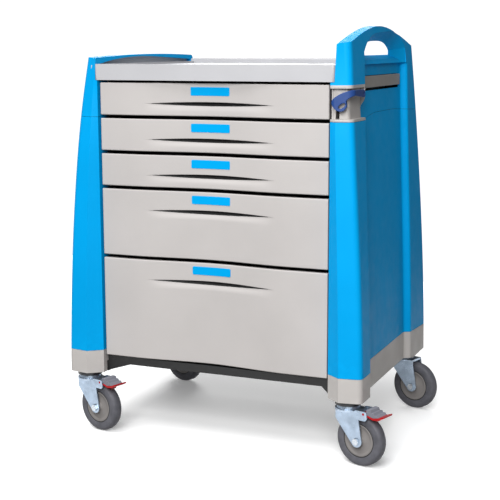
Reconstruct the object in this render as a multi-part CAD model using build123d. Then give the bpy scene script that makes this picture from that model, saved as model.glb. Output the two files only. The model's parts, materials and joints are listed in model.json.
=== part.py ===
from build123d import *
import math
import os

# Mobile ward drawer cabinet: five drawers between two moulded side covers, on four swivel casters.
# Millimetres. While the parts are made, X = 0 is the middle of the drawers, Y = 0 the plane of
# their fronts (the back is at +Y) and Z = 0 the floor. At the end everything is moved together,
# so that the origin is the middle of the footprint, on the floor.

# ---------------------------------------------------------------- driving dimensions
CLEAR = 0.5                 # gap between neighbouring pieces that move past each other
SHEET = 1.5                 # folded steel sheet

DRAWER_UNITS = [1, 1, 1, 2, 3]      # front heights, in units, from the top drawer down
UNIT = 85.8                 # one unit of front height, with its gap
FRONT_GAP = 8.5             # gap between neighbouring fronts
STACK_TOP = 874.0           # top edge of the top front
FRONT_WIDTH = 585.0
FRONT_DEPTH = 36.0          # thickness of a front, over its returns
FRONT_SKIN = 4.0
FRONT_EDGE = 2.5            # edge radius of a front
DIP_DEPTH = 16.0            # the fronts dip back in the middle
DIP_HALF = 205.0
PULL_MIDDLE = -6.0          # middle of the labels and finger lips, a little to the left
LIP_DROP = 49.0             # ends of the finger lip below a front's top edge
LIP_RISE = 5.0              # the lip's middle is this much higher than its ends
LIP_DEPTH = 12.0            # how far the scoop goes in under the lip
LIP_HALF = 160.0
SCOOP_TILT = 17.0           # the scoop runs out downwards at this angle

LABEL_SIZE = (100.0, 20.0)
LABEL_DROP = 19.0           # label centre below a front's top edge
LABEL_THICKNESS = 2.0
LABEL_SEAT = DIP_DEPTH + 0.9        # the label's seat, a flat cut in the middle of the dip

WALL_IN = 290.0             # inner face of the side walls
WALL = 4.0
BODY_FRONT = 40.0
BODY_BACK = 536.0
DECK_TOP = 192.0
BODY_TOP = 880.0

TRAY_BACK = 486.0
TRAY_OUT = 278.0            # outer face of a tray's side
TRAY_RISE = 8.0             # tray bottom above its front's bottom edge
TRAY_DROP = 16.0            # tray top below its front's top edge

RAIL_START = 46.0
RAIL_LENGTH = 436.0
RAIL_HEIGHT = 40.0
RAIL_SHEET = 1.6

COVER_HALF = 385.0          # outer face of the covers at the foot
COVER_FLARE = 51.0          # how far the outer face leans in, up to FLARE_TOP
COVER_FOOT = 150.0          # underside of the feet
FLARE_TOP = 958.0
FLARE_POWER = 1.575
COVER_IN = 296.0            # inner face of the covers
COVER_SKIN = 3.5
COVER_REAR = 550.0
LEFT_OUT = 3.0              # the left covers stand this much further out
RECESS = 17.0               # the side between the two columns lies this much deeper
FRONT_RUN = 14.0            # length of the step from the front column to the recess
REAR_RUN = 20.0             # length of the step from the recess to the rear column
SEAM = 0.8                  # open seam between covers
SECTION_LEVELS = [150, 260, 400, 540, 680, 800, 905]
HANDLE_LEVELS = SECTION_LEVELS + [1010]
LOCK_LEVELS = [780, 830, 880]

SEAM_COLUMN = 208.0         # cover above skirt, at the columns
SEAM_ARCH = 225.0           # the same seam in the recess
SEAM_REAR = 214.0           # and at its rear end
SEAM_UPPER = 792.0          # upper cover above lower cover
SEAM_UPPER_ARCH = 803.0
SKIRT_STEP = 5.0            # the skirt's underside is higher in the recess

TOP_HALF = 305.0            # half width of the worktop
TOP_HIGH = 918.0
TOP_RIM = 10.0
TOP_REAR_RIM = 926.0

HANDLE_CROWN = (267.0, 1006.0)      # Y and Z of the handle's highest point
HANDLE_FALL = (48.0, 160.0)         # the handle's arch is a hyperbola with these half axes
HANDLE_SHOULDERS = (36.0, 9.0)      # roundings of its front and rear shoulder
HEAD_LOW = 917.0            # the recess ends here, and the handle's head begins
RAIL_CROWN = (310.0, 940.0)         # the same for the bumper rail on the other side
RAIL_FALL = (40.0, 480.0)
RAIL_SHOULDERS = (14.0, 14.0)
RAIL_GAP = 318.0            # how far out the recess under the bumper rail reaches

HOUSING_LOW = 792.0
HOUSING_HIGH = 873.0
HOUSING_REAR = 112.0
POCKET_LOW = 797.5
POCKET_HIGH = 866.0
POCKET_DEPTH = 11.0             # room for the hooked end to swing in as the lever turns down
LEVER_BACK = 0.5                # how far in the lever reaches from the cover's outline
LEVER_PIVOT = (78.0, 853.0)         # Y and Z of the lever's pivot, which lies along X

SHELF_LOW = 866.0
SHELF_HIGH = 874.0
SHELF_SPAN = (130.0, 450.0)         # Y range of the side shelf's blade
SHELF_REACH = (-20.0, 321.0)        # X range of the blade when stowed
SHELF_LIP = (862.0, 889.0)          # Z range of the lip that the hand pulls
SHELF_FACE = 329.0
FINGER_ROOM = 7.0           # open height under the lip

GUSSETS = {-1: 62.0, 1: 20.0}       # lengths of the base's front gussets, left and right

CASTER_X = 344.0
CASTER_Y = (6.0, 488.0)
CASTER_YAW = -16.0          # all four wheels trail the same way
TRAIL = 38.0
WHEEL_R = 62.5
TREAD_HALF = 14.0
HUB_R = 39.5
AXLE_R = 5.0
KINGPIN_R = 6.0
RUNNING = 0.05              # radial clearance of a running fit
CROWN_LOW = 128.5
CROWN_HIGH = 134.0
LEG_IN = 19.5               # inner face of a fork leg, from the wheel's middle
LEG = 3.5
PEDAL_PIVOT = (56.0, 131.0)         # trailing distance and height of the brake pedal's pin

# ---------------------------------------------------------------- helpers
def box(x_range, y_range, z_range):
    """A block between two values on each axis."""
    size = [high - low for low, high in (x_range, y_range, z_range)]
    middle = [(high + low) / 2 for low, high in (x_range, y_range, z_range)]
    return Pos(*middle) * Box(*size)


def rod(axis, radius, start, end, at=(0, 0)):
    """A cylinder along X, Y or Z from start to end; at holds the other two coordinates."""
    plane = {"x": Plane.YZ, "y": Plane.XZ, "z": Plane.XY}[axis]
    low, high = (start, end) if axis != "y" else (-end, -start)
    disc = plane.offset(low) * Pos(*at) * Circle(radius)
    return extrude(disc, high - low)


def side_prism(outline, x_range):
    """Extrude a face drawn in Y and Z along X."""
    return extrude(Plane.YZ.offset(x_range[0]) * outline, x_range[1] - x_range[0])


def front_prism(outline, y_range):
    """Extrude a face drawn in X and Z along Y."""
    return extrude(Plane.XZ.offset(-y_range[1]) * outline, y_range[1] - y_range[0])


def mirrored(shape):
    return mirror(shape, about=Plane.YZ)


# ---------------------------------------------------------------- drawers
def front_ranges():
    """Bottom and top of each front, from the top drawer down."""
    ranges = []
    top = STACK_TOP
    for units in DRAWER_UNITS:
        ranges.append((top - units * UNIT + FRONT_GAP, top))
        top -= units * UNIT
    return ranges


def front_plan(margin):
    """Plan of a front, drawn in from its outside by margin: straight ends and a dip between."""
    half = FRONT_WIDTH / 2 - margin
    dip = Spline(
        (-DIP_HALF, margin), (PULL_MIDDLE, DIP_DEPTH + margin), (DIP_HALF, margin),
        tangents=[(1, 0), (1, 0)],
    )
    back = FRONT_DEPTH + margin
    rest = Polyline(
        (DIP_HALF, margin), (half, margin), (half, back), (-half, back), (-half, margin),
        (-DIP_HALF, margin),
    )
    return make_face([dip, rest])


def drawer_front(low, high):
    block = Pos(0, 0, low) * extrude(front_plan(0), high - low)
    block = fillet(block.edges().filter_by(lambda e: e.center().Y < FRONT_DEPTH / 2), FRONT_EDGE)
    lip = high - LIP_DROP
    # The scoop is a tilted cylinder, cut off flat at the lip.
    middle = DIP_DEPTH + LIP_DEPTH
    end = DIP_DEPTH - LIP_HALF ** 2 * DIP_DEPTH / DIP_HALF ** 2
    radius = LIP_HALF ** 2 / (2 * (middle - end))
    tilt = math.radians(SCOOP_TILT)
    roller = Rot(-SCOOP_TILT, 0, 0) * Cylinder(radius, 2 * radius)
    roller = Pos(PULL_MIDDLE, middle - radius / math.cos(tilt), lip) * roller
    left, right = PULL_MIDDLE - LIP_HALF - 10, PULL_MIDDLE + LIP_HALF + 10
    reach = front_prism(make_face([
        Polyline((left, lip), (left, low + FRONT_SKIN), (right, low + FRONT_SKIN), (right, lip)),
        ThreePointArc((right, lip), (PULL_MIDDLE, lip + LIP_RISE), (left, lip)),
    ]), (-40, FRONT_DEPTH))
    block -= roller & reach
    # The back is pocketed above the lip, and below the scoop on the tall fronts.
    pocket = front_plan(FRONT_SKIN)
    above_lip = LIP_DROP - LIP_RISE - 2 * FRONT_SKIN
    block -= Pos(0, 0, high - FRONT_SKIN - above_lip) * extrude(pocket, above_lip)
    scoop_end = lip - FRONT_SKIN * 3 - LIP_DEPTH / math.tan(tilt)
    if scoop_end - low > 3 * FRONT_SKIN:
        block -= Pos(0, 0, low + FRONT_SKIN) * extrude(pocket, scoop_end - low - FRONT_SKIN)
    half, tall = LABEL_SIZE[0] / 2 + 0.2, LABEL_SIZE[1] / 2 + 0.2
    seat = box((-half, half), (0, LABEL_SEAT), (-tall, tall))
    return block - Pos(PULL_MIDDLE, 0, high - LABEL_DROP) * seat


def drawer_label(high):
    outline = RectangleRounded(LABEL_SIZE[0], LABEL_SIZE[1], 3)
    face = LABEL_SEAT - LABEL_THICKNESS
    return front_prism(Pos(PULL_MIDDLE, high - LABEL_DROP) * outline, (face, LABEL_SEAT))


def tray_range(low, high):
    return low + TRAY_RISE, high - TRAY_DROP


def rail_height(low, high):
    """Height of a drawer's slides: level with the middle of a small tray, low on a tall one."""
    bottom, top = tray_range(low, high)
    return min((bottom + top) / 2, bottom + 60)


def drawer_tray(low, high):
    """Folded steel tray, open at the top, with the slides' inner members on its sides."""
    bottom, top = tray_range(low, high)
    tray = box((-TRAY_OUT, TRAY_OUT), (FRONT_DEPTH, TRAY_BACK), (bottom, top))
    tray -= box(
        (-TRAY_OUT + SHEET, TRAY_OUT - SHEET),
        (FRONT_DEPTH + SHEET, TRAY_BACK - SHEET),
        (bottom + SHEET, top + 1),
    )
    level = rail_height(low, high)
    half = RAIL_HEIGHT / 2 - 2 * (RAIL_SHEET + 1)
    member = box(
        (TRAY_OUT, WALL_IN - 2 * (RAIL_SHEET + 1)),
        (RAIL_START, RAIL_START + RAIL_LENGTH),
        (level - half, level + half),
    )
    return [tray, member, mirrored(member)]


def channel(outer_x, half, level):
    """A rail of channel section that opens towards the middle of the cabinet."""
    open_x = TRAY_OUT + 2
    ends = (RAIL_START, RAIL_START + RAIL_LENGTH)
    profile = box((open_x, outer_x), ends, (level - half, level + half))
    inside = half - RAIL_SHEET
    return profile - box((open_x - 1, outer_x - RAIL_SHEET), ends, (level - inside, level + inside))


def rail_pair(step, level):
    """step 0 is the member on the wall, step 1 the one that runs between wall and tray."""
    shrink = step * (RAIL_SHEET + 1)
    rail = channel(WALL_IN - shrink, RAIL_HEIGHT / 2 - shrink, level)
    return [rail, mirrored(rail)]


# ---------------------------------------------------------------- side covers
def rise(z):
    """0 at the feet and 1 at the shoulders; the covers lean in along this curve."""
    return max(0.0, (z - COVER_FOOT) / (FLARE_TOP - COVER_FOOT)) ** FLARE_POWER


def outer_x(z):
    return COVER_HALF - COVER_FLARE * rise(z)


def column_rear(z):
    """Where the front column's side ends and the step to the recess begins."""
    return 44 + 30 * rise(z) + 55 * rise(z) ** 2


def recess_rear(z):
    """Where the recess ends and the step to the rear column begins."""
    return 390 + 45 * rise(z) + 45 * rise(z) ** 2


def cover_section(z, inset, depth):
    """Horizontal section of a right side cover: two columns with a recess of depth between."""
    s = min(rise(z), 1)
    x = outer_x(z) - inset
    inner = COVER_IN + min(inset, COVER_SKIN)
    front_end = column_rear(z) - inset / 2
    rear_start = recess_rear(z) + inset / 2
    ridge = (330 - 28 * s, -28 + 14 * s + 25 * s ** 3 + inset)
    corner_in = (outer_x(z) - 10 - 4 * s - inset / 3, -21 + 9 * s + 35 * s ** 3 + inset)
    corner_out = (x, corner_in[1] + 14 + 6 * s)
    recess = x - depth
    rear = COVER_REAR - inset
    step_out = (front_end + FRONT_RUN, rear_start + REAR_RUN)
    edges = [
        Line((inner, 20), (inner, -2 + inset)),
        Line((inner, -2 + inset), ridge),
        Line(ridge, corner_in),
        Spline(corner_in, corner_out, tangents=[(1, 0.3), (0, 1)]),
        Line(corner_out, (x, front_end)),
        Spline((x, front_end), (recess, step_out[0]), tangents=[(0, 1), (0, 1)]),
        Line((recess, step_out[0]), (recess, rear_start)),
        Spline((recess, rear_start), (x, step_out[1]), tangents=[(0, 1), (0, 1)]),
        Line((x, step_out[1]), (x, rear - 14)),
        Spline((x, rear - 14), (x - 14, rear), tangents=[(0, 1), (-1, 0)]),
        Line((x - 14, rear), (inner, rear)),
        Line((inner, rear), (inner, 20)),
    ]
    return Pos(0, 0, z) * make_face(edges)


def cover_body(inset, levels, depth=RECESS):
    return loft([cover_section(z, inset, depth) for z in levels])


def above_seam(column_z, arch_z, rear_z, bends):
    """Everything above a seam that is level on the front column, rises to arch_z between the
    first two bends, is level to the third, and then falls to rear_z."""
    y_start, y_in, y_out = bends
    seam = [
        Line((-60, column_z), (y_start, column_z)),
        Spline((y_start, column_z), (y_in, arch_z), tangents=[(1, 0), (1, 0)]),
        Line((y_in, arch_z), (y_out, arch_z)),
        Line((y_out, arch_z), (600, rear_z)),
        Line((600, rear_z), (600, 1100)),
        Line((600, 1100), (-60, 1100)),
        Line((-60, 1100), (-60, column_z)),
    ]
    return side_prism(make_face(seam), (0, 420))


def below_arch(crown, fall, shoulders):
    """Everything below an arch drawn over the side; its two shoulders are rounded."""
    crown_y, crown_z = crown
    drop, reach = fall

    def arch(y):
        return (y, crown_z - drop * (math.hypot(1, (y - crown_y) / reach) - 1))

    def slope(y):
        return -drop * (y - crown_y) / reach ** 2 / math.hypot(1, (y - crown_y) / reach)

    front, rear = -16, COVER_REAR + 1
    start, end = front + shoulders[0], rear - shoulders[1]
    front_low = arch(front)[1] - shoulders[0]
    rear_low = arch(rear)[1] - shoulders[1]
    middle = [arch(crown_y + offset) for offset in (140, 70, 0, -70, -140)]
    edges = [
        Polyline(
            (front, front_low), (-60, front_low - 40), (-60, 100), (620, 100), (620, rear_low),
            (rear, rear_low),
        ),
        Spline((rear, rear_low), arch(end), tangents=[(0, 1), (-1, -slope(end))]),
        Spline(arch(end), *middle, arch(start), tangents=[(-1, -slope(end)), (-1, -slope(start))]),
        Spline(arch(start), (front, front_low), tangents=[(-1, -slope(start)), (0, -1)]),
    ]
    return side_prism(make_face(edges), (0, 420))


def side_shell(out):
    """A cover's skin: open towards the cabinet up to the worktop, solid beside and above it."""
    skin = cover_body(0, HANDLE_LEVELS)
    hollow = cover_body(COVER_SKIN, SECTION_LEVELS) + box(
        (WALL_IN, COVER_IN + 6), (BODY_FRONT, COVER_REAR - COVER_SKIN - 8), (100, 1100)
    )
    skin -= hollow & box((0, 420), (-60, 600), (100, BODY_TOP - 2))
    skin -= box((0, COVER_IN), (-60, 600), (100, 1100))
    return skin - box((0, TOP_HALF - out + 0.3), (-60, 600), (BODY_TOP - 0.5, 1100))


def handle_shell():
    """The right cover's skin with the handle's head, where the recess ends."""
    head = cover_body(0, HANDLE_LEVELS, 0)
    head &= box((TOP_HALF + 0.3, 420), (-60, 600), (HEAD_LOW, 1100))
    return side_shell(0) + head


def skirt(shell, seam):
    """The moulded foot below a cover, with its underside raised a little in the recess."""
    lift = box((0, 420), (80, 425), (100, COVER_FOOT + SKIRT_STEP))
    return shell - seam - lift


def handle_opening():
    """The hand hole through the handle: wide and arched outside, and narrower inside."""
    def outline(front, rear, low, arch):
        return make_face([
            Polyline(front, (front[0], low), (rear[0], low), rear),
            Spline(rear, *arch, front),
        ])
    outside = outline((122, 945), (476, 955), 905, [(450, 981), (300, 997), (182, 984)])
    middle = outline((142, 945), (450, 951), 927, [(432, 969), (300, 985), (200, 974)])
    inside = outline((168, 948), (418, 948), 937, [(398, 959), (300, 971), (212, 964)])
    outside = Plane.YZ.offset(335) * outside
    inside = Plane.YZ.offset(306) * inside
    funnel = loft([inside, Plane.YZ.offset(322) * middle, outside], ruled=True)
    return funnel + extrude(inside, -30) + extrude(outside, 30)


def shelf_slot():
    """The opening that the side shelf slides through, with room for fingers under its lip."""
    span = (SHELF_SPAN[0] - 1.5, SHELF_SPAN[1] + 1.5)
    return box((WALL_IN - 2, 420), span, (SHELF_LIP[0] - FINGER_ROOM, SHELF_LIP[1] + 1.5))


def lock_zone():
    return box((0, 420), (-60, HOUSING_REAR), (HOUSING_LOW, HOUSING_HIGH))


def lock_housing():
    """Lock housing: it carries on the front column's outline and holds the lever in a pocket."""
    body = cover_body(0, LOCK_LEVELS) & lock_zone()
    body -= box((0, COVER_IN), (-60, 200), (700, 900))
    cavity = cover_body(POCKET_DEPTH + 4, LOCK_LEVELS) & box(
        (COVER_IN + 6, 420), (-60, HOUSING_REAR + 1), (POCKET_LOW, POCKET_HIGH)
    )
    pocket = (cover_body(-20, LOCK_LEVELS) - cover_body(POCKET_DEPTH, LOCK_LEVELS)) & box(
        (COVER_IN + 3, 420), (-60, HOUSING_REAR - 6), (POCKET_LOW, POCKET_HIGH)
    )
    pocket += box((COVER_IN - 5, COVER_IN + 20), (-60, -2 + POCKET_DEPTH), (POCKET_LOW, POCKET_HIGH))
    bar_slot = box((303, 308), (49, 77), (HOUSING_LOW - 1, POCKET_LOW + 1))
    return body - cavity - pocket - bar_slot - lock_pin()


def lock_pin():
    return rod("x", 4, 326, outer_x(LEVER_PIVOT[1]) + 2, at=LEVER_PIVOT)


def lock_lever():
    """A lever that wraps round the column's corner, with a hooked end that has a seal hole."""
    band = cover_body(-7, LOCK_LEVELS) - cover_body(LEVER_BACK, LOCK_LEVELS)
    pivot_y, pivot_z = LEVER_PIVOT
    tail = Pos(pivot_y, pivot_z) * Circle(9)
    arm = make_hull((tail + Pos(14, 856.5) * Circle(6.5)).edges())
    side = side_prism(arm, (330, 420)) & band
    shape = make_face([
        Spline((352, 863.5), (330, 859), (311, 849), (301, 837), (308, 822), (323, 815), (336, 827)),
        Line((336, 827), (334, 839)),
        Spline((334, 839), (342, 846), (352, 850.5)),
        Line((352, 850.5), (352, 863.5)),
    ])
    sweep = front_prism(shape, (-60, 16)) & band
    hole = front_prism(Pos(325, 828) * Rot(0, 0, 35) * Ellipse(8.5, 4), (-60, 40))
    bore = rod("x", 4 + RUNNING, 300, 420, at=LEVER_PIVOT)
    return side + sweep - hole - bore


def lock_bar():
    """A strip inside the front column, with a hook for each drawer; the lever slides it."""
    sheet = (304, 307)
    strip = box(sheet, (50, 66), (240, 858))
    for low, high in front_ranges():
        hook_z = min(rail_height(low, high) + 26, high - 24)
        strip += box(sheet, (65, 76), (hook_z, hook_z + 8))
    return strip


# ---------------------------------------------------------------- body and top
def side_wall():
    return box((WALL_IN, WALL_IN + WALL), (BODY_FRONT, BODY_BACK - WALL), (DECK_TOP, BODY_TOP))


def top_panel():
    """Sheet under the worktop, with two folded guides for the side shelf."""
    half = WALL_IN + WALL
    panel = box((-half, half), (BODY_FRONT, BODY_BACK - WALL), (BODY_TOP, BODY_TOP + 4))
    guide = box((-40, WALL_IN - 4), (SHELF_SPAN[0] - 2.5, SHELF_SPAN[0] + 10), (SHELF_LOW - 3, BODY_TOP))
    guide -= box(
        (-41, WALL_IN), (SHELF_SPAN[0] - 0.6, SHELF_SPAN[0] + 11), (SHELF_LOW - 1, BODY_TOP)
    )
    middle = (SHELF_SPAN[0] + SHELF_SPAN[1]) / 2
    other = mirror(guide, about=Plane.XZ.offset(-middle))
    return panel + guide + other


def side_shelf():
    """Pull-out side shelf: a blade with a deep lip that the fingers pull from below."""
    blade = box(SHELF_REACH, SHELF_SPAN, (SHELF_LOW, SHELF_HIGH))
    return blade + box((SHELF_REACH[1], SHELF_FACE), SHELF_SPAN, SHELF_LIP)


def worktop():
    """Moulded top with a raised rim, hollow underneath."""
    rear = COVER_REAR - 2
    block = box((-TOP_HALF, TOP_HALF), (-3, rear), (BODY_TOP, TOP_HIGH))
    block = fillet(block.edges().filter_by(Axis.Z), 6)
    rear_wall = box((-TOP_HALF, TOP_HALF), (rear - TOP_RIM, rear), (TOP_HIGH - 10, TOP_REAR_RIM))
    block += fillet(rear_wall.edges().filter_by(Axis.X).sort_by(Axis.Z)[-2:], 4)
    block -= box((-TOP_HALF + TOP_RIM, TOP_HALF - TOP_RIM), (7, rear - TOP_RIM), (TOP_HIGH - 5, 1000))
    under = box((-TOP_HALF + 4, TOP_HALF - 4), (1, BODY_BACK - 0.5), (BODY_TOP - 1, TOP_HIGH - 9))
    # A ledge and an upright lining fill the bottom and the back of the recess under the rail.
    recess = Pos(-LEFT_OUT, 0, 0) * mirrored(rail_gap())
    ledge = recess & box((-400, -300), (0, 600), (900, TOP_HIGH - 1))
    lining = recess & box((-400, 2 - RAIL_GAP - LEFT_OUT), (0, 600), (900, 1000))
    return block - under + ledge + lining


def rail_gap():
    """The recess under the bumper rail, open towards the worktop."""
    low, rear = 906, COVER_REAR - 12
    outline = make_face([
        Polyline((9, 915), (9, low), (rear, low), (rear, 924)),
        Spline((rear, 924), (300, 934), (100, 928), (9, 915)),
    ])
    return side_prism(outline, (300, RAIL_GAP))


def base_frame():
    """Black welded base: a deck with a downturned edge, corner arms and gussets."""
    half = COVER_IN - 1
    pan = box((-half, half), (14, BODY_BACK), (172, DECK_TOP))
    pan -= box((-half + 3, half - 3), (17, BODY_BACK - 3), (171, DECK_TOP - 3))
    for side in (-1, 1):
        for y in CASTER_Y:
            front = y < 100
            span = (14, 58) if front else (440, 520)
            reach = (-12, 40) if front else (454, 520)
            x_in = sorted((side * (half - 30), side * half))
            x_near = sorted((side * half, side * 322))
            x_out = sorted((side * 320, side * 374))
            pan += box(x_in, span, (COVER_FOOT + 22, DECK_TOP))
            arm = box(x_out, reach, (COVER_FOOT, COVER_FOOT + 26))
            arm += box(x_near, span, (COVER_FOOT, COVER_FOOT + 26))
            pan += arm - rod("z", 9, 100, 200, at=(side * CASTER_X, y))
        start = half - GUSSETS[side]
        corner = [(side * start, 172), (side * half, 172), (side * half, 152)]
        gusset = make_face(Polyline(*corner, corner[0]))
        pan += front_prism(gusset, (14, 20))
    return pan


# ---------------------------------------------------------------- casters
def caster_place(side, y):
    return Pos(side * CASTER_X, y, 0) * Rot(0, 0, CASTER_YAW)


def caster_mount(side, y):
    """Fixed half of a caster: stem, top plate and kingpin with its rivet head."""
    mount = rod("z", 9, COVER_FOOT, COVER_FOOT + 26)
    mount += rod("z", 31, COVER_FOOT - 8, COVER_FOOT - 0.2)
    mount += rod("z", KINGPIN_R, CROWN_LOW - 9, COVER_FOOT)
    mount += rod("z", 10, CROWN_LOW - 9, CROWN_LOW - 4.5)
    return Pos(side * CASTER_X, y, 0) * mount


def fork(braked):
    """Pressed steel fork, with its wheel trailing along +X; a braked one has lugs for a pedal."""
    crown = rod("z", 31, CROWN_LOW, CROWN_HIGH)
    crown += box((0, 40), (-LEG_IN - LEG, LEG_IN + LEG), (CROWN_LOW, CROWN_HIGH))
    crown += rod("z", 27, CROWN_HIGH, COVER_FOOT - 8.6)
    top = Pos(10, 122) * Rectangle(60, 24)
    plate = make_hull((top + Pos(TRAIL, WHEEL_R) * Circle(14)).edges())
    if braked:
        lug = Pos(PEDAL_PIVOT[0] - 8, 126) * RectangleRounded(34, 22, 6)
        plate += lug - Pos(*PEDAL_PIVOT) * Circle(3 + RUNNING)
    plate -= Pos(TRAIL, WHEEL_R) * Circle(AXLE_R)
    body = crown
    for start in (-LEG_IN - LEG, LEG_IN):
        body += front_prism(plate, (start, start + LEG))
    return body - rod("z", KINGPIN_R + RUNNING, 0, 200)


def axle():
    """Axle bolt with its head and nut."""
    bolt = rod("y", AXLE_R, -29, 29, at=(TRAIL, WHEEL_R))
    outer = LEG_IN + LEG
    nut = Pos(TRAIL, WHEEL_R) * RegularPolygon(8.5, 6)
    bolt += front_prism(nut, (-outer - 5.5, -outer))
    return bolt + front_prism(nut, (outer, outer + 5.5))


def turned(points):
    """Revolve a section, given as radius and offset along the axle, about the wheel's axle."""
    section = Plane.XZ * make_face(Polyline(*points, points[0]))
    solid = revolve(section, Axis.Z)
    return Pos(TRAIL, 0, WHEEL_R) * Rot(90, 0, 0) * solid


def hub():
    bore = AXLE_R + RUNNING
    half = [(bore, 18.5), (12, 18.5), (12, 12), (33, 11), (35, 12.5), (HUB_R, 12.5)]
    return turned(half + [(r, -h) for r, h in reversed(half)])


def tyre():
    section = Pos((HUB_R + WHEEL_R) / 2, 0) * Rectangle(WHEEL_R - HUB_R, 2 * TREAD_HALF)
    section = fillet(section.vertices().sort_by(Axis.X)[-2:], 10)
    ring = revolve(Plane.XZ * section, Axis.Z)
    return Pos(TRAIL, 0, WHEEL_R) * Rot(90, 0, 0) * ring


def pedal_lever():
    """Brake lever: a plate that slopes away from its pin, with a pressing tip and a brake tooth."""
    x, z = PEDAL_PIVOT
    blade = make_face(Polyline(
        (x - 5, z - 3.5), (x + 5, z - 5), (x + 24, z - 11), (x + 40, z - 8), (x + 52, z - 2),
        (x + 52, z + 2), (x + 38, z - 3), (x + 24, z - 6), (x + 5, z - 1), (x - 5, z + 1),
        (x - 5, z - 3.5),
    ))
    half = LEG_IN - CLEAR
    lever = front_prism(blade, (-half, half))
    lever += rod("y", 3, -LEG_IN - LEG + 0.5, LEG_IN + LEG - 0.5, at=PEDAL_PIVOT)
    tooth = make_face(Polyline((x + 20, z - 9), (x + 30, z - 9), (x + 27, z - 17), (x + 20, z - 9)))
    return lever + front_prism(tooth, (-8, 8))


def pedal_pad():
    """Ribbed pad on top of the brake lever."""
    x, z = PEDAL_PIVOT
    ribs = Polyline(
        (x + 5, z - 1), (x + 24, z - 6), (x + 38, z - 3), (x + 33, z + 2), (x + 28, z + 1),
        (x + 25, z + 6), (x + 19, z + 5), (x + 16, z + 11), (x + 6, z + 11), (x + 5, z - 1),
    )
    half = LEG_IN - CLEAR
    pad = front_prism(make_face(ribs), (-half, half))
    return pad - rod("y", 3.4, -half, half, at=PEDAL_PIVOT)


# ---------------------------------------------------------------- assembly
def cover_screws():
    """Screws that hold the back panel, in two columns."""
    screws = []
    for x in (-270, 270):
        for step in range(4):
            head = rod("y", 5, BODY_BACK, BODY_BACK + 2.5, at=(x, 250 + 190 * step))
            screws.append(head)
    return screws


built = {}
for number, (low, high) in enumerate(front_ranges(), start=1):
    built[f"drawer_{number}_front"] = drawer_front(low, high)
    built[f"drawer_{number}_label"] = drawer_label(high)
    built[f"drawer_{number}_tray"] = drawer_tray(low, high)
    built[f"drawer_{number}_middle_rails"] = rail_pair(1, rail_height(low, high))
built["fixed_rails"] = [
    rail for low, high in front_ranges() for rail in rail_pair(0, rail_height(low, high))
]

built["base_frame"] = base_frame()
built["right_wall"] = side_wall() - shelf_slot()
built["left_wall"] = mirrored(side_wall())
built["back_panel"] = box(
    (-WALL_IN - WALL, WALL_IN + WALL), (BODY_BACK - WALL, BODY_BACK), (DECK_TOP, BODY_TOP)
)
built["top_panel"] = top_panel()
built["worktop"] = worktop()
built["side_shelf"] = side_shelf()
built["cover_screws"] = cover_screws()

base_seam = above_seam(SEAM_COLUMN, SEAM_ARCH, SEAM_REAR, (40, 105, 410))
upper_seam = above_seam(SEAM_UPPER, SEAM_UPPER_ARCH, SEAM_UPPER, (114, 240, 380))
level_seam = box((0, 420), (-60, 600), (SEAM_UPPER, 1100))
handle_side = handle_shell() & below_arch(HANDLE_CROWN, HANDLE_FALL, HANDLE_SHOULDERS)
rail_side = side_shell(LEFT_OUT) & below_arch(RAIL_CROWN, RAIL_FALL, RAIL_SHOULDERS)
rail_side -= rail_gap()
gap = Pos(0, 0, -SEAM)
built["right_skirt"] = skirt(handle_side, gap * base_seam) - built["base_frame"]
built["right_lower_cover"] = (handle_side & base_seam) - gap * upper_seam
upper = (handle_side & upper_seam) - lock_zone() - handle_opening() - shelf_slot()
built["right_upper_cover"] = upper
place_left = Pos(-LEFT_OUT, 0, 0)
left_skirt = place_left * mirrored(skirt(rail_side, gap * base_seam))
built["left_skirt"] = left_skirt - built["base_frame"]
built["left_lower_cover"] = place_left * mirrored((rail_side & base_seam) - gap * level_seam)
built["left_upper_cover"] = place_left * mirrored(rail_side & level_seam)
built["lock_housing"] = lock_housing()
built["lock_pin"] = lock_pin()
built["lock_lever"] = lock_lever()
built["lock_bar"] = lock_bar()

corners = {
    "front_left": (-1, CASTER_Y[0]), "front_right": (1, CASTER_Y[0]),
    "rear_left": (-1, CASTER_Y[1]), "rear_right": (1, CASTER_Y[1]),
}
built["caster_mounts"] = [caster_mount(*corner) for corner in corners.values()]
for name, corner in corners.items():
    braked = name.startswith("front")
    place = caster_place(*corner)
    built[f"fork_{name}"] = place * fork(braked)
    built[f"axle_{name}"] = place * axle()
    built[f"hub_{name}"] = place * hub()
    built[f"tyre_{name}"] = place * tyre()
    if braked:
        built[f"pedal_lever_{name}"] = place * pedal_lever()
        built[f"pedal_pad_{name}"] = place * pedal_pad()

shapes = {
    node: Compound(children=shape) if isinstance(shape, list) else shape
    for node, shape in built.items()
}
extent = Compound(children=[Compound(shape.solids()) for shape in shapes.values()]).bounding_box()
origin = Pos(-extent.center().X, -extent.center().Y, 0)

os.makedirs("parts", exist_ok=True)
for node, shape in shapes.items():
    export_step(origin * shape, f"parts/{node}.step")
print(len(shapes), "nodes; moved by", -extent.center().X, -extent.center().Y)
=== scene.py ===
import json
import math

import bmesh
import bpy
from mathutils import Matrix, Vector

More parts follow.
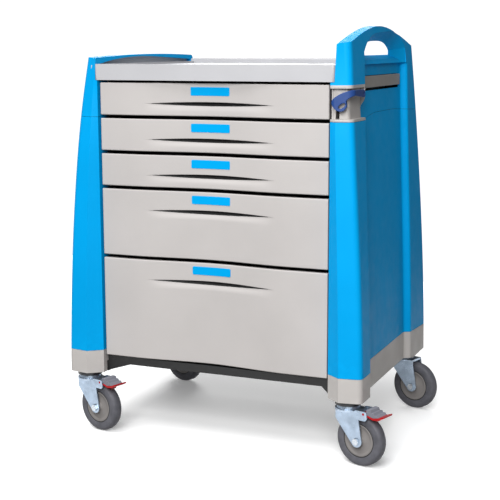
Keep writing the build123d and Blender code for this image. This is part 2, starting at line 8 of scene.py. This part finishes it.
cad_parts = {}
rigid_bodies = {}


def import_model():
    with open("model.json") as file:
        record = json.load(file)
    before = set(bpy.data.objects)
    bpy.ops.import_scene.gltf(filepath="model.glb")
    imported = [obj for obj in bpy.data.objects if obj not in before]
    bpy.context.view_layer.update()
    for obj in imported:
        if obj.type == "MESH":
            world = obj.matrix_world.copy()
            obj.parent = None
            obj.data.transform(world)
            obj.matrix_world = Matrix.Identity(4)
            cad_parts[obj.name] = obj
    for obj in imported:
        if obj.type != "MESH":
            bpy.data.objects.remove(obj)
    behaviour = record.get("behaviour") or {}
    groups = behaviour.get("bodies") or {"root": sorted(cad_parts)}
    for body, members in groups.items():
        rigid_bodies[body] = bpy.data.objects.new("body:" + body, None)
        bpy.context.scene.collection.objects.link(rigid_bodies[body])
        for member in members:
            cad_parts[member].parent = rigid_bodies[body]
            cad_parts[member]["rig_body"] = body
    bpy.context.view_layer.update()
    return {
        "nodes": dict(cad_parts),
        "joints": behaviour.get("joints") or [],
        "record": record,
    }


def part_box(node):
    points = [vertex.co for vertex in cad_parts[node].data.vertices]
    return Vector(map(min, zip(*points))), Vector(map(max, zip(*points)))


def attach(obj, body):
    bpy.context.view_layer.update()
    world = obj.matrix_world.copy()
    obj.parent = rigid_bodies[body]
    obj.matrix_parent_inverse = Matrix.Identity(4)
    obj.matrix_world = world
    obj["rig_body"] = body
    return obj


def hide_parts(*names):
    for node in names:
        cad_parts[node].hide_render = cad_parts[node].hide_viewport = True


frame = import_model()
nodes = frame["nodes"]
scene = bpy.context.scene

# ---------------------------------------------------------------- places
# Lengths in this script are millimetres from the middle of the drawer fronts' lower edge line:
# x along the fronts, y to the back, z up from the floor. at() turns them into the frame's metres.
MM = 0.001
top_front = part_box("drawer_1_front")
MIDDLE = Vector(((top_front[0].x + top_front[1].x) / 2, top_front[0].y, 0))


def at(x, y, z):
    return MIDDLE + Vector((x, y, z)) * MM


def span(node):
    """Lowest and highest corner of a CAD node, in millimetres from the middle."""
    low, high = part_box(node)
    return (low - MIDDLE) / MM, (high - MIDDLE) / MM


def mix(a, b, t):
    return a + (b - a) * t


def steps(count):
    """count + 1 values from 0 to 1."""
    return [i / count for i in range(count + 1)]


# ---------------------------------------------------------------- materials
def srgb(red, green, blue):
    """Linear colour of an 8-bit screen colour."""
    def linear(value):
        value /= 255
        return value / 12.92 if value <= 0.04045 else ((value + 0.055) / 1.055) ** 2.4
    return (linear(red), linear(green), linear(blue), 1)


class Finish:
    """A principled material with its node tree, and short calls that wire detail into it."""

    def __init__(self, name, colour, roughness=0.5, metallic=0.0, specular=0.5):
        self.material = bpy.data.materials.new(name)
        self.material.use_nodes = True
        self.tree = self.material.node_tree
        self.shader = self.tree.nodes["Principled BSDF"]
        self.shader.inputs["Base Color"].default_value = colour
        self.shader.inputs["Roughness"].default_value = roughness
        self.shader.inputs["Metallic"].default_value = metallic
        self.shader.inputs["Specular IOR Level"].default_value = specular
        self.colour = colour
        self.height = None

    def node(self, kind, **inputs):
        made = self.tree.nodes.new(kind)
        for key, value in inputs.items():
            made.inputs[key.replace("_", " ")].default_value = value
        return made

    def link(self, start, end):
        self.tree.links.new(start, end)

    def position(self, stretch=(1, 1, 1)):
        """Object coordinates, scaled along each axis."""
        source = self.node("ShaderNodeTexCoord")
        scaled = self.node("ShaderNodeMapping")
        scaled.inputs["Scale"].default_value = stretch
        self.link(source.outputs["Object"], scaled.inputs["Vector"])
        return scaled.outputs["Vector"]

    def noise(self, scale, detail=3.0, roughness=0.5, stretch=(1, 1, 1)):
        made = self.node("ShaderNodeTexNoise", Scale=scale, Detail=detail, Roughness=roughness)
        self.link(self.position(stretch), made.inputs["Vector"])
        return made.outputs["Fac"]

    def ramp(self, source, low, high, start=0.0, end=1.0):
        """Map a value from low..high to start..end."""
        made = self.node("ShaderNodeMapRange")
        made.inputs["From Min"].default_value = low
        made.inputs["From Max"].default_value = high
        made.inputs["To Min"].default_value = start
        made.inputs["To Max"].default_value = end
        self.link(source, made.inputs["Value"])
        return made.outputs["Result"]

    def shade(self, source, dark=0.9, light=1.05):
        """Vary the colour's brightness with a value from 0 to 1."""
        low = tuple(channel * dark for channel in self.colour[:3]) + (1,)
        high = tuple(min(channel * light, 1) for channel in self.colour[:3]) + (1,)
        made = self.node("ShaderNodeMix")
        made.data_type = "RGBA"
        made.inputs["A"].default_value = low
        made.inputs["B"].default_value = high
        self.link(source, made.inputs["Factor"])
        self.link(made.outputs["Result"], self.shader.inputs["Base Color"])
        self.paint = made.outputs["Result"]
        return self

    def wear(self, colour, amount=0.5, start=0.53, end=0.62):
        """Rub the paint towards another colour along convex edges."""
        geometry = self.node("ShaderNodeNewGeometry")
        edge = self.ramp(geometry.outputs["Pointiness"], start, end)
        broken = self.ramp(self.noise(60, 4), 0.4, 0.62)
        both = self.node("ShaderNodeMath")
        both.operation = "MULTIPLY"
        self.link(edge, both.inputs[0])
        self.link(broken, both.inputs[1])
        scaled = self.ramp(both.outputs["Value"], 0, 1, 0, amount)
        made = self.node("ShaderNodeMix")
        made.data_type = "RGBA"
        made.inputs["B"].default_value = colour
        self.link(scaled, made.inputs["Factor"])
        self.link(self.paint, made.inputs["A"])
        self.link(made.outputs["Result"], self.shader.inputs["Base Color"])
        self.paint = made.outputs["Result"]
        return self

    def rough(self, source, low, high):
        """Vary the roughness between two values."""
        self.link(self.ramp(source, 0.3, 0.7, low, high), self.shader.inputs["Roughness"])
        return self

    def bump(self, source, strength, distance):
        """Add a bump, on top of any that is there."""
        made = self.node("ShaderNodeBump", Strength=strength, Distance=distance)
        self.link(source, made.inputs["Height"])
        if self.height:
            self.link(self.height, made.inputs["Normal"])
        self.link(made.outputs["Normal"], self.shader.inputs["Normal"])
        self.height = made.outputs["Normal"]
        return self


def moulded(name, colour, roughness, grain=1100.0, depth=0.08, rub=None, specular=0.25):
    """Injection-moulded plastic: fine spark grain, faint clouding and slightly rubbed edges."""
    finish = Finish(name, colour, roughness, specular=specular)
    finish.shade(finish.ramp(finish.noise(7, 5), 0.3, 0.7), 0.96, 1.03)
    if rub:
        finish.wear(rub, 0.35)
    finish.rough(finish.noise(35, 5), roughness - 0.05, roughness + 0.07)
    finish.bump(finish.noise(3.5, 2), 0.12, 0.002)
    finish.bump(finish.noise(grain, 2), depth, 0.0003)
    return finish.material


def painted(name, colour, roughness):
    """Powder coat: soft orange peel."""
    finish = Finish(name, colour, roughness, specular=0.45)
    finish.shade(finish.ramp(finish.noise(12, 4), 0.3, 0.7), 0.94, 1.04)
    finish.rough(finish.noise(60, 4), roughness - 0.06, roughness + 0.08)
    finish.bump(finish.noise(420, 2), 0.12, 0.0004)
    return finish.material


def plated(name, colour, roughness, tint):
    """Zinc plate: rolled grain, cloudy passivation."""
    finish = Finish(name, colour, roughness, metallic=0.9)
    finish.shade(finish.ramp(finish.noise(45, 5), 0.32, 0.68), 0.82, 1.12)
    finish.wear(tint, 0.5, 0.52, 0.6)
    finish.rough(finish.noise(140, 5), roughness - 0.1, roughness + 0.12)
    finish.bump(finish.noise(260, 3, stretch=(1, 1, 14)), 0.1, 0.0002)
    return finish.material


def rubber(name, colour, roughness):
    """Grey wheel rubber: dusty and scuffed."""
    finish = Finish(name, colour, roughness, specular=0.35)
    finish.shade(finish.ramp(finish.noise(55, 6), 0.35, 0.7), 0.85, 1.2)
    finish.rough(finish.noise(90, 5), roughness - 0.08, roughness + 0.12)
    finish.bump(finish.noise(700, 3), 0.2, 0.0003)
    return finish.material


MATERIALS = {
    "cover_blue": moulded("cover_blue", srgb(0, 154, 219), 0.5, rub=srgb(0, 170, 235), specular=0.06),
    "skirt_beige": moulded("skirt_beige", srgb(180, 176, 173), 0.5, rub=srgb(205, 202, 198)),
    "front_grey": moulded("front_grey", srgb(181, 177, 175), 0.5, grain=900, depth=0.06),
    "label_blue": moulded("label_blue", srgb(0, 156, 220), 0.4, grain=1500, depth=0.02, specular=0.06),
    "tray_steel": painted("tray_steel", srgb(195, 196, 195), 0.4),
    "rail_zinc": plated("rail_zinc", srgb(190, 194, 198), 0.32, srgb(225, 228, 230)),
    "fork_zinc": plated("fork_zinc", srgb(160, 175, 192), 0.34, srgb(226, 234, 242)),
    "bolt_steel": plated("bolt_steel", srgb(196, 202, 208), 0.26, srgb(236, 238, 240)),
    "hub_grey": moulded("hub_grey", srgb(128, 124, 122), 0.55, grain=1300, depth=0.1),
    "tyre_grey": rubber("tyre_grey", srgb(84, 84, 90), 0.6),
    "brake_red": moulded("brake_red", srgb(168, 5, 14), 0.35, grain=1500, depth=0.03),
    "pad_grey": moulded("pad_grey", srgb(118, 119, 128), 0.5, grain=1000, depth=0.1),
    "top_grey": moulded("top_grey", srgb(178, 178, 181), 0.5, grain=800, depth=0.12),
    "shelf_grey": moulded("shelf_grey", srgb(150, 146, 142), 0.5, grain=1000, depth=0.08),
    "lever_blue": moulded("lever_blue", srgb(34, 64, 122), 0.4, grain=1300, depth=0.05, specular=0.15),
    "mount_black": painted("mount_black", srgb(28, 30, 33), 0.35),
    "base_black": painted("base_black", srgb(9, 9, 10), 0.5),
    "body_black": painted("body_black", srgb(16, 16, 17), 0.45),
    "back_grey": painted("back_grey", srgb(170, 167, 164), 0.42),
}
node_slot = {part["node"]: part["material_slot"] for part in frame["record"]["subparts"]}

# ---------------------------------------------------------------- mesh tools


def piece(name, mesh, slot, body):
    """Link a mesh as a smooth shaded piece that rides on a body."""
    made = bpy.data.objects.new(name, mesh)
    scene.collection.objects.link(made)
    mesh.materials.clear()
    mesh.materials.append(MATERIALS[slot])
    mesh.shade_smooth()
    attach(made, body)
    return made


def mesh_from(verts, faces, name="mesh"):
    mesh = bpy.data.meshes.new(name)
    mesh.from_pydata([tuple(v) for v in verts], [], faces)
    mesh.update()
    return mesh


def grid_faces(rows, columns, closed=False):
    """Quads between rows of points; closed joins the last column to the first."""
    faces = []
    for r in range(rows - 1):
        for c in range(columns if closed else columns - 1):
            d = (c + 1) % columns
            faces.append((r * columns + c, r * columns + d, (r + 1) * columns + d, (r + 1) * columns + c))
    return faces


def add(made, kind, **settings):
    modifier = made.modifiers.new(kind.title(), kind)
    for key, value in settings.items():
        setattr(modifier, key, value)
    return modifier


def crisp(made, width, segments=3, angle=32):
    """Round a piece's hard edges a little, and keep its flats flat."""
    add(made, "BEVEL", width=width * MM, segments=segments, limit_method="ANGLE",
        angle_limit=math.radians(angle), harden_normals=True)
    return made


def soften(node, width=0.8, segments=2):
    """Give a CAD node its material, and small radii on its hard edges."""
    made = nodes[node]
    made.data.materials.clear()
    made.data.materials.append(MATERIALS[node_slot[node]])
    if width:
        add(made, "WELD", merge_threshold=1e-5)
        crisp(made, width, segments)
    return made


def remeshed(node, voxel, passes, inward):
    """A rounded copy of a CAD node, for moulded shapes: remesh it finely and relax its edges."""
    source = nodes[node]
    copy = bpy.data.objects.new(node + "_copy", source.data.copy())
    scene.collection.objects.link(copy)
    add(copy, "WELD", merge_threshold=1e-5)
    add(copy, "REMESH", mode="VOXEL", voxel_size=voxel * MM)
    add(copy, "SMOOTH", factor=0.5, iterations=passes)
    add(copy, "DISPLACE", strength=-inward * MM, mid_level=0)
    evaluated = copy.evaluated_get(bpy.context.evaluated_depsgraph_get())
    mesh = bpy.data.meshes.new_from_object(evaluated)
    bpy.data.objects.remove(copy)
    made = piece(node + "_moulding", mesh, node_slot[node], source["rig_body"])
    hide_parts(node)
    return made


def lathe(name, profile, centre, axis, slot, body, turns=96):
    """Revolve a closed profile of (radius, offset) in millimetres about an axis through centre."""
    side = axis.orthogonal().normalized()
    other = axis.cross(side).normalized()
    verts = []
    for radius, offset in profile:
        for i in range(turns):
            angle = 2 * math.pi * i / turns
            around = side * math.cos(angle) + other * math.sin(angle)
            verts.append(centre + (around * radius + axis * offset) * MM)
    faces = grid_faces(len(profile) + 1, turns, closed=True)
    count = len(verts)
    faces = [tuple(index % count for index in face) for face in faces]
    return piece(name, mesh_from(verts, faces, name), slot, body)


# ---------------------------------------------------------------- drawer fronts
FRONT_EDGE = 2.5            # radius round a front
FRONT_BACK = 36.0           # a front's thickness
DIP_HALF = 205.0            # the fronts dip back in the middle
DIP_DEPTH = 16.0
PULL_MIDDLE = -6.0          # middle of the dip and of the finger lip
LIP_DROP = 49.0             # the lip's ends lie this far below a front's top edge
LIP_RISE = 5.0
LIP_HALF = 165.0
SCOOP_DEPTH = 12.0
SCOOP_RUN = 23.0            # the scoop fades out this far below the lip
LIP_SHADOW_HALF = 150.0           # half length of the black painted shadow under the lip
LIP_SHADOW_HEIGHT = 8.5
LABEL_CORNER = 3.0
LABEL_THICKNESS = 1.0
QUARTER = [math.radians(a) for a in (0, 22.5, 45, 67.5, 90)]


def across(x, half):
    """1 in the middle of the pull, falling to 0 at half on either side, as a parabola."""
    return max(0.0, 1 - ((x - PULL_MIDDLE) / half) ** 2)


def dip(x):
    """How far back a front's face lies at x."""
    half = DIP_HALF + math.copysign(PULL_MIDDLE, PULL_MIDDLE - x)
    t = max(0.0, 1 - abs(x - PULL_MIDDLE) / half)
    return DIP_DEPTH * t * t * (3 - 2 * t)


def lip_height(x, high):
    return high - LIP_DROP + LIP_RISE * across(x, LIP_HALF)


def scoop(x, below):
    """How much deeper the scoop is than the face, at some distance below the lip."""
    return SCOOP_DEPTH * across(x, LIP_HALF) * (1 - below / SCOOP_RUN) ** 2


def front_profile(x, low, high):
    """A front's section at x, as (depth, height) points from its back top to its back bottom."""
    face, jump, lip = dip(x), scoop(x, 0), lip_height(x, high)
    edge, root = min(1.0, 0.4 * jump), min(1.5, 0.4 * jump)
    arc = FRONT_EDGE
    points = [(face + arc * (1 - math.sin(a)), high - arc * (1 - math.cos(a))) for a in QUARTER]
    points += [(face, mix(high - arc, lip + edge, t)) for t in steps(8)[1:]]
    points += [
        (face + edge * (1 - math.cos(a)), lip + edge * (1 - math.sin(a))) for a in QUARTER[1:]
    ]
    depth = face + scoop(x, root)
    points += [(depth - root * (1 - math.sin(a)), lip - root * (1 - math.cos(a))) for a in QUARTER]
    for t in steps(12)[1:]:
        below = mix(root, SCOOP_RUN, t)
        points.append((face + scoop(x, below), lip - below))
    points += [(face, mix(lip - SCOOP_RUN, low + arc, t)) for t in steps(6)[1:]]
    points += [
        (face + arc * (1 - math.cos(a)), low + arc * (1 - math.sin(a))) for a in QUARTER[1:]
    ]
    return points


def front(number):
    """A moulded drawer front: dipped in plan, with a finger lip over a scoop."""
    node = f"drawer_{number}_front"
    low, high = span(node)
    half = (high.x - low.x) / 2
    arc = FRONT_EDGE
    rounded = [(half - arc * (1 - math.cos(a)), arc * (1 - math.sin(a))) for a in QUARTER]
    columns = [(-x, offset) for x, offset in rounded]
    columns += [(mix(arc - half, half - arc, t), 0.0) for t in steps(110)[1:-1]]
    columns += rounded[::-1]
    rows = []
    for x, offset in columns:
        profile = front_profile(x, low.z, high.z)
        section = [(FRONT_BACK, profile[0][1])] + profile + [(FRONT_BACK, profile[-1][1])]
        rows.append([at(x, min(y + offset, FRONT_BACK), z) for y, z in section])
    for side in (0, -1):
        wall = [at(columns[side][0], FRONT_BACK, (place - MIDDLE).z / MM) for place in rows[side]]
        rows.insert(0 if side == 0 else len(rows), wall)
    made = bmesh.new()
    verts = [[made.verts.new(place) for place in row] for row in rows]
    for left, right in zip(verts, verts[1:]):
        for a, b, c, d in zip(left, left[1:], right[1:], right):
            made.faces.new((a, b, c, d))
    bmesh.ops.remove_doubles(made, verts=made.verts, dist=1e-6)
    bmesh.ops.dissolve_degenerate(made, edges=made.edges, dist=1e-7)
    rim = [edge for edge in made.edges if edge.is_boundary]
    bmesh.ops.edgeloop_fill(made, edges=rim)
    bmesh.ops.recalc_face_normals(made, faces=made.faces)
    mesh = bpy.data.meshes.new(node)
    made.to_mesh(mesh)
    made.free()
    shell = piece(f"{node}_moulding", mesh, "front_grey", f"drawer_{number}")
    add(shell, "WEIGHTED_NORMAL", weight=80)
    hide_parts(node)


def painted_lip_shadow(number):
    """Painted shadow in a scoop, right under the lip: a black crescent that follows the scoop, where the
    lip's shade falls.
    """
    high = span(f"drawer_{number}_front")[1].z
    rows = []
    for along in steps(60):
        x = PULL_MIDDLE + mix(-LIP_SHADOW_HALF, LIP_SHADOW_HALF, along)
        height = 0.6 + LIP_SHADOW_HEIGHT * across(x, LIP_SHADOW_HALF)
        row = []
        for down in steps(8):
            below = 0.3 + down * height
            row.append(at(x, dip(x) + scoop(x, below) - 0.4, lip_height(x, high) - below))
        rows.append(row)
    verts = [place for row in rows for place in row]
    # the black crescent is painted shadow of the lip on the scoop
    made = piece(f"drawer_{number}_grip", mesh_from(verts, grid_faces(len(rows), 9)),
                 "base_black", f"drawer_{number}")
    add(made, "SOLIDIFY", thickness=0.3 * MM, offset=0)


def label(number):
    """A thin plate with rounded corners, bent to the front's dipped face."""
    node = f"drawer_{number}_label"
    low, high = span(node)
    middle, half = (low + high) / 2, (high - low) / 2
    corner = LABEL_CORNER
    ends = [(half.x - corner * (1 - math.cos(a)), half.z - corner * (1 - math.sin(a))) for a in QUARTER]
    columns = [(-x, tall) for x, tall in ends]
    columns += [(mix(corner - half.x, half.x - corner, t), half.z) for t in steps(30)[1:-1]]
    columns += ends[::-1]
    rows = []
    for x, tall in columns:
        depth = dip(middle.x + x) - LABEL_THICKNESS / 2
        rows.append([at(middle.x + x, depth, middle.z + mix(-tall, tall, t)) for t in steps(4)])
    made = piece(f"{node}_plate", mesh_from([place for row in rows for place in row],
                 grid_faces(len(rows), 5)), "label_blue", f"drawer_{number}")
    add(made, "SOLIDIFY", thickness=LABEL_THICKNESS * MM, offset=0)
    crisp(made, 0.3, 2)
    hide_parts(node)


# ---------------------------------------------------------------- casters
def wheel_profile(half_points):
    """A closed profile from its points on one side of the wheel, as (radius, offset)."""
    return half_points + [(radius, -offset) for radius, offset in reversed(half_points)]


HUB_PROFILE = wheel_profile([
    (5.2, 18.0), (6.0, 18.6), (11.0, 18.6), (12.0, 17.8), (12.6, 13.5), (14.5, 12.0),
    (30.0, 10.8), (32.5, 11.2), (34.5, 12.6), (38.0, 12.8), (39.0, 12.2),
])
TYRE_PROFILE = wheel_profile([
    (39.8, 11.0), (40.6, 12.4), (42.0, 13.4), (50.0, 14.0), (56.0, 13.6), (57.6, 12.9),
    (60.6, 9.6), (62.1, 5.0),
])
# a black ring in the groove between tyre and hub: painted shade
GROOVE_SHADE_PROFILE = wheel_profile([(38.6, 11.9), (38.9, 12.7), (40.6, 12.7), (40.9, 11.9)])


def wheel(corner):
    """Tyre, hub and a black ring between them as painted shade of their groove, turned about the wheel's
    axle.
    """
    low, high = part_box(f"tyre_{corner}")
    spin = next(joint for joint in frame["joints"] if joint["name"] == f"spin_{corner}")
    axis = Vector(spin["axis"]).normalized()
    centre, body = (low + high) / 2, f"wheel_{corner}"
    tread = lathe(f"tyre_{corner}_turned", TYRE_PROFILE, centre, axis, "tyre_grey", body)
    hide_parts(f"tyre_{corner}")
    core = lathe(f"hub_{corner}_turned", HUB_PROFILE, centre, axis, "hub_grey", body)
    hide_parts(f"hub_{corner}")
    lathe(f"painted_groove_shade_{corner}", GROOVE_SHADE_PROFILE, centre, axis, "base_black", body)


# ---------------------------------------------------------------- covers
SEAM_GAP = 0.8              # open seam between a cover and the one above it
SEAM_INSET = 1.0            # how deep the black painted-shade strip in it lies
RIM_DROP = 14.0             # the seam rises and falls by less than this
RIB_CLEARANCE = 1.0         # from the rib to the body's wall
RIB_SHORT = 7.5             # how far in from the shelf's lip the rib ends
RIB_BEHIND = 5.0            # from the shelf's rear edge back to the rib
RIB_REACH = 22.0            # how far the rib goes below the shelf


def painted_shade_seam_strip(node):
    """A dark strip in the open seam on top of a cover, so that no light shows through it; its black is
    painted shade of the seam's inside.
    """
    made = bmesh.new()
    made.from_mesh(nodes[node].data)
    bmesh.ops.remove_doubles(made, verts=made.verts, dist=1e-6)
    top = span(node)[1].z
    rim = [face for face in made.faces if face.normal.z > 0.6
           and face.calc_center_median().z / MM > top - RIM_DROP]
    bmesh.ops.delete(made, geom=[face for face in made.faces if face not in set(rim)], context="FACES")
    ring = bmesh.ops.inset_region(made, faces=made.faces, thickness=SEAM_INSET * MM, use_boundary=True)
    bmesh.ops.delete(made, geom=ring["faces"], context="FACES")
    mesh = bpy.data.meshes.new(node)
    made.to_mesh(mesh)
    made.free()
    # the strip blocks light, and its black is painted shade in the seam
    strip = piece(f"{node}_seam", mesh, "base_black", "cabinet")
    add(strip, "SOLIDIFY", thickness=SEAM_GAP * MM, offset=1)


def painted_shade_shelf_rib():
    """A dark rib inside the right cover, behind the shelf's slot, so that no light shows through; its
    black is painted shade in the slot.
    """
    shelf, wall = span("side_shelf"), span("right_wall")
    inner, outer = wall[1].x + RIB_CLEARANCE, shelf[1].x - RIB_SHORT
    back = shelf[1].y + RIB_BEHIND
    rows = []
    for along in steps(6):
        x = mix(inner, outer, along)
        rows.append([at(x, back, mix(shelf[0].z - RIB_REACH, shelf[1].z, up)) for up in steps(4)])
    # the rib blocks light, and its black is painted shade behind and under the shelf
    made = piece("shelf_slot_painted_shade_rib", mesh_from([place for row in rows for place in row],
                 grid_faces(len(rows), 5)), "base_black", "cabinet")
    add(made, "SOLIDIFY", thickness=1.5 * MM, offset=0)
    crisp(made, 0.3, 2)


# ---------------------------------------------------------------- build everything
SOFT = {"worktop": 1.6, "side_shelf": 1.2, "lock_housing": 1.0, "base_frame": 0.8}
for node in nodes:
    covers = node_slot[node] in ("cover_blue", "skirt_beige") and node != "lock_housing"
    soften(node, SOFT.get(node, 0.0 if covers else 0.6))
for number in range(1, 6):
    front(number)
    painted_lip_shadow(number)
    label(number)
for corner in ("front_left", "front_right", "rear_left", "rear_right"):
    wheel(corner)
remeshed("lock_lever", 0.9, 6, 0.4)
for node in ("right_lower_cover", "left_lower_cover", "right_skirt", "left_skirt"):
    painted_shade_seam_strip(node)
painted_shade_shelf_rib()

# ---------------------------------------------------------------- floor, light and camera
AIM = at(0, 0, 500)         # where the lights point
KEY_PLACE = at(700, -2650, 2000)
KEY_SIZE = (1.7, 1.5)       # in metres
BACK_PLACE = at(-1300, 3100, 2000)
BACK_SIZE = 1.8
TOP_PLACE = at(-300, -900, 3000)
TOP_SPREAD = 35.0           # degrees, for soft shadows
CAMERA_PLACE = at(1154.7, -2515.0, 961.9)
CAMERA_AIM = at(100, 0, 488)
CAMERA_ROLL = -0.17         # degrees
CAMERA_LENS = 84.9
BACKDROP = 1.1              # strength of the surroundings that the camera sees
FLOOR_HALF = 1.9            # in metres
AMBIENT = 0.2              # strength of the surroundings' light
KEY_POWER = 112.0
BACK_POWER = 60.0
TOP_STRENGTH = 2.2
FLOOR_GLOW = 0.2


def floor():
    """A pale floor, lit up to white, that ends outside the picture."""
    mesh = bpy.data.meshes.new("floor")
    made = bmesh.new()
    bmesh.ops.create_grid(made, x_segments=1, y_segments=1, size=FLOOR_HALF)
    made.to_mesh(mesh)
    made.free()
    plane = bpy.data.objects.new("floor", mesh)
    scene.collection.objects.link(plane)
    plane.visible_diffuse = False       # so that it doesn't light the cabinet from below
    finish = Finish("floor_pale", srgb(246, 246, 246), 0.7, specular=0.2)
    finish.shade(finish.ramp(finish.noise(2, 2), 0.3, 0.7), 0.99, 1.0)
    finish.shader.inputs["Emission Color"].default_value = (1, 1, 1, 1)
    finish.shader.inputs["Emission Strength"].default_value = FLOOR_GLOW
    mesh.materials.append(finish.material)


def studio():
    """White surroundings for the camera, dim ones for the light; softboxes and a top light."""
    world = bpy.data.worlds.new("studio")
    scene.world = world
    world.use_nodes = True
    tree = world.node_tree
    sky = tree.nodes["Background"]
    sky.inputs["Color"].default_value = (1, 1, 1, 1)
    path = tree.nodes.new("ShaderNodeLightPath")
    strength = tree.nodes.new("ShaderNodeMapRange")
    strength.inputs["To Min"].default_value = AMBIENT
    strength.inputs["To Max"].default_value = BACKDROP
    tree.links.new(path.outputs["Is Camera Ray"], strength.inputs["Value"])
    tree.links.new(strength.outputs["Result"], sky.inputs["Strength"])
    key = bpy.data.lights.new("key", "AREA")
    key.shape = "RECTANGLE"
    key.size, key.size_y = KEY_SIZE
    key.energy = KEY_POWER
    hang("key", key, KEY_PLACE, AIM)
    back = bpy.data.lights.new("back", "AREA")
    back.size = BACK_SIZE
    back.energy = BACK_POWER
    hang("back", back, BACK_PLACE, AIM)
    top = bpy.data.lights.new("top", "SUN")
    top.energy = TOP_STRENGTH
    top.angle = math.radians(TOP_SPREAD)
    hang("top", top, TOP_PLACE, AIM)


def hang(name, data, place, target):
    light = bpy.data.objects.new(name, data)
    scene.collection.objects.link(light)
    light.location = place
    light.rotation_euler = (target - place).to_track_quat("-Z", "Y").to_euler()


def camera():
    data = bpy.data.cameras.new("camera")
    data.sensor_width = 36
    data.lens = CAMERA_LENS
    made = bpy.data.objects.new("camera", data)
    scene.collection.objects.link(made)
    made.location = CAMERA_PLACE
    look = (CAMERA_AIM - CAMERA_PLACE).to_track_quat("-Z", "Y").to_matrix()
    made.rotation_euler = (look @ Matrix.Rotation(math.radians(CAMERA_ROLL), 3, "Z")).to_euler()
    scene.camera = made


floor()
studio()
camera()
scene.view_settings.view_transform = "Standard"
